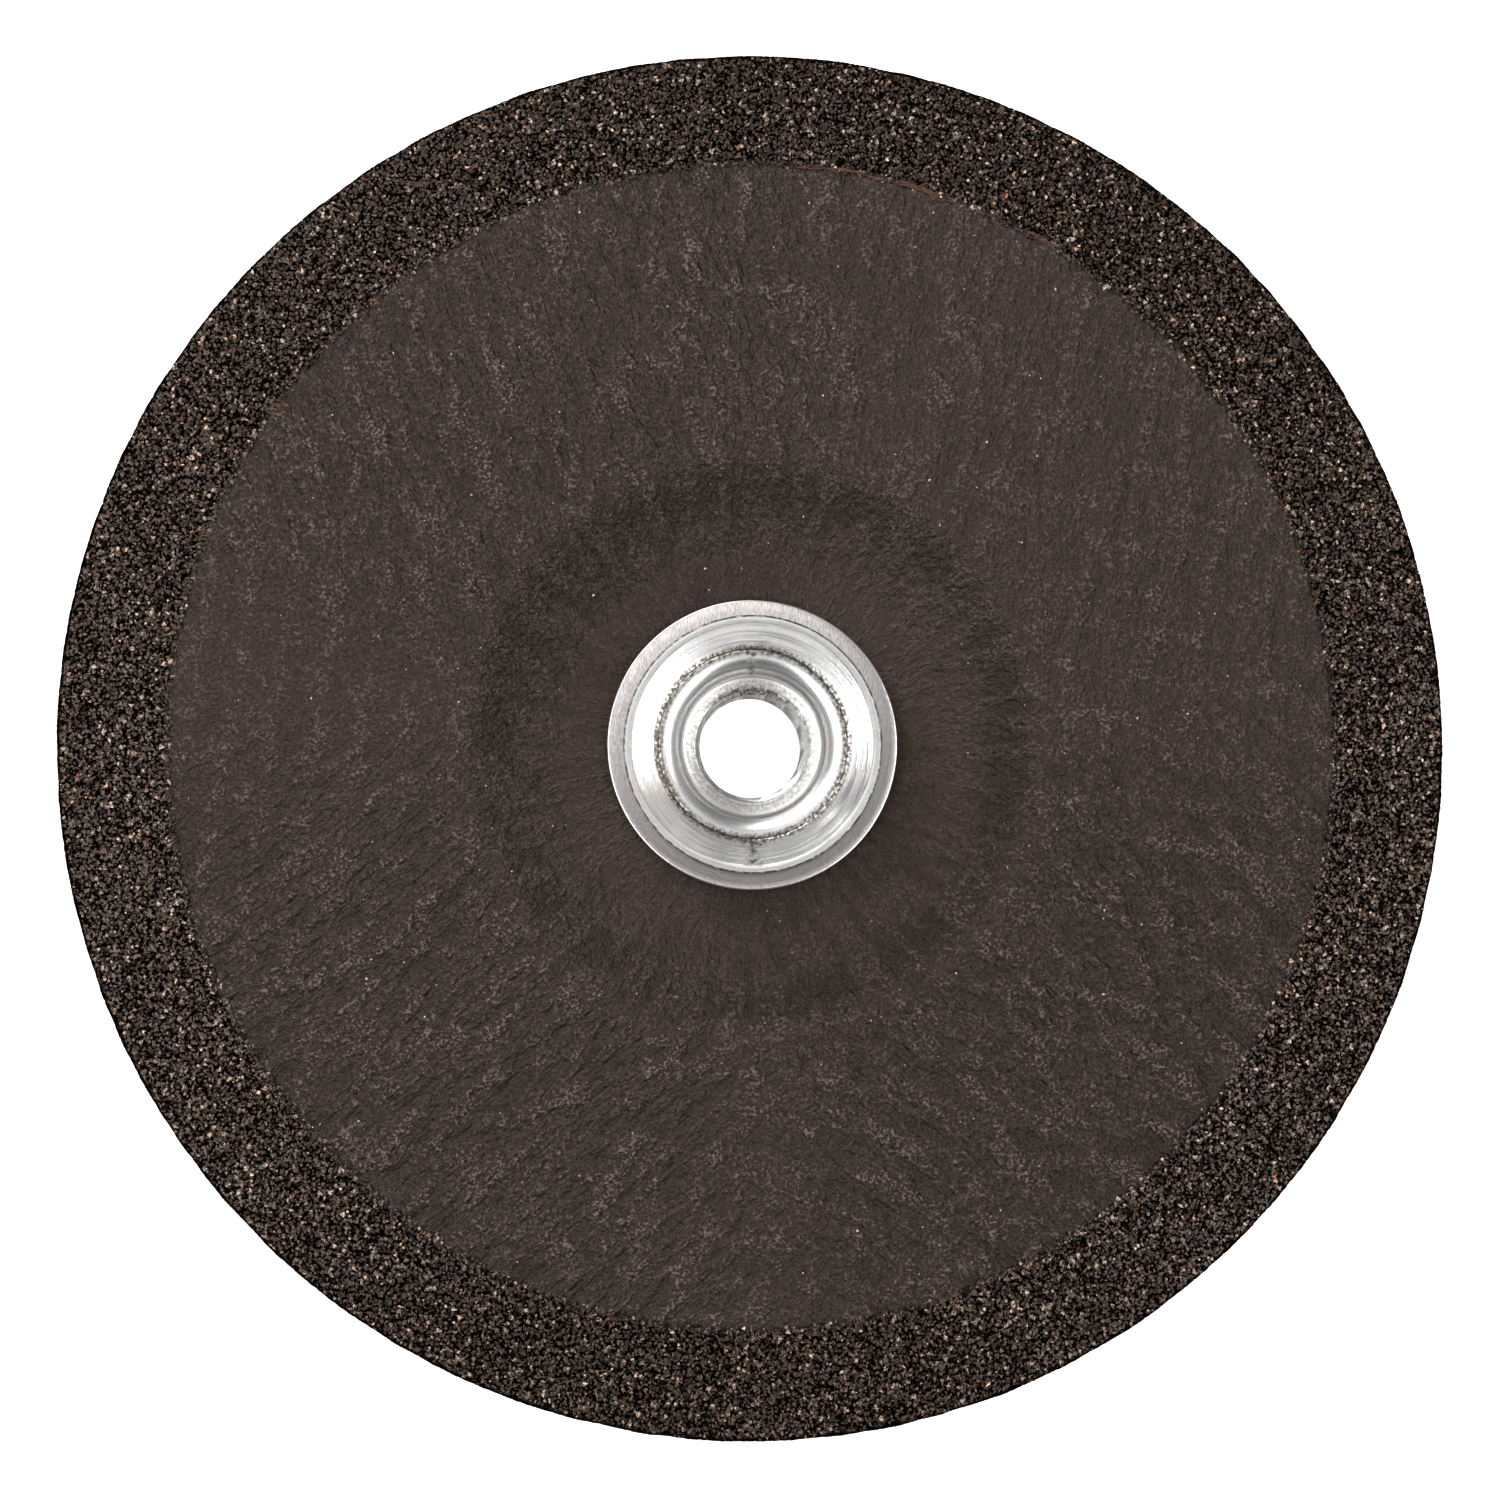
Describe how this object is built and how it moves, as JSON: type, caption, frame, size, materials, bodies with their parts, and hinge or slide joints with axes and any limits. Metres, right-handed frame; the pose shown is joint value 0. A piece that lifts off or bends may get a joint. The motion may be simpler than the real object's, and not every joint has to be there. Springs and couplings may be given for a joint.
{
  "type": "grinding disc",
  "caption": "Depressed-centre abrasive grinding disc with a lining paper on its sunken face and a riveted spin-on hub with a hexagon and a threaded bore.",
  "frame": {"origin": "on the disc's axis, at the flat end of the hub's hexagon, which it stands on", "axes": "+Z along the disc's axis, from the machine side to the work side; X and Y across the disc, with two flats of the hexagon facing +Y and -Y"},
  "size_m": [0.18, 0.18, 0.022],
  "materials": {
    "abrasive": "coarse dark brown grain in resin",
    "glass_cloth": "resin-soaked glass strands",
    "lining_paper": "matt crinkled grey-brown paper",
    "washer_steel": "satin, finely brushed",
    "hub_metal": "turned and spun, bright"
  },
  "bodies": {
    "root": {"abrasive_body": "abrasive", "face_cloth": "glass_cloth", "face_liner": "lining_paper", "retaining_washer": "washer_steel", "spindle_hub": "hub_metal"}
  },
  "joints": []
}
